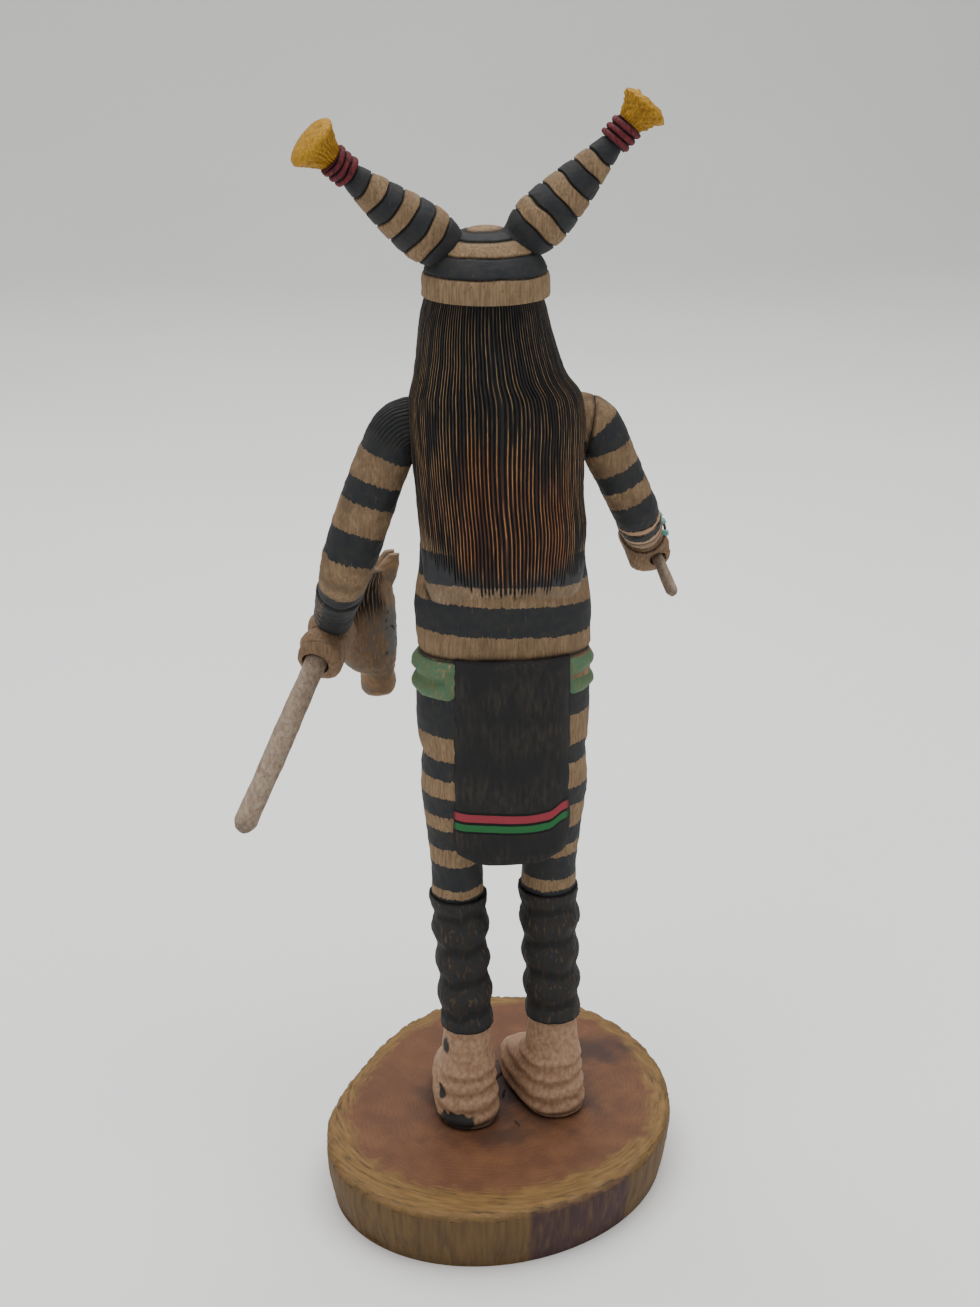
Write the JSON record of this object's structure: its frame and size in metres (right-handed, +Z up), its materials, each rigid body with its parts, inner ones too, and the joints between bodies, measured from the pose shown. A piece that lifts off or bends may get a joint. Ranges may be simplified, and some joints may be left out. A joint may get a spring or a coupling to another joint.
{
  "type": "kachina doll",
  "caption": "Carved and painted clown doll with long hair and a striped horned cap, holding a stick horse, standing on a slice of trunk.",
  "frame": {"origin": "middle of the underside of the base, below the doll", "axes": "+Z up along the doll, -Y the way that the doll faces, +X towards its left hand"},
  "size_m": [0.1195, 0.1107, 0.2936],
  "materials": {
    "painted_root": "matte",
    "trunk_slice": "satin",
    "bare_stick": "matte",
    "horse_paint": "satin",
    "turquoise": "satin"
  },
  "bodies": {
    "root": {"base": "trunk_slice", "figure": "painted_root", "right_arm": "painted_root", "horn_left": "painted_root", "horn_right": "painted_root", "stick_left": "bare_stick", "horse_head": "horse_paint", "stick_right": "bare_stick", "bracelet": "turquoise"}
  },
  "joints": []
}
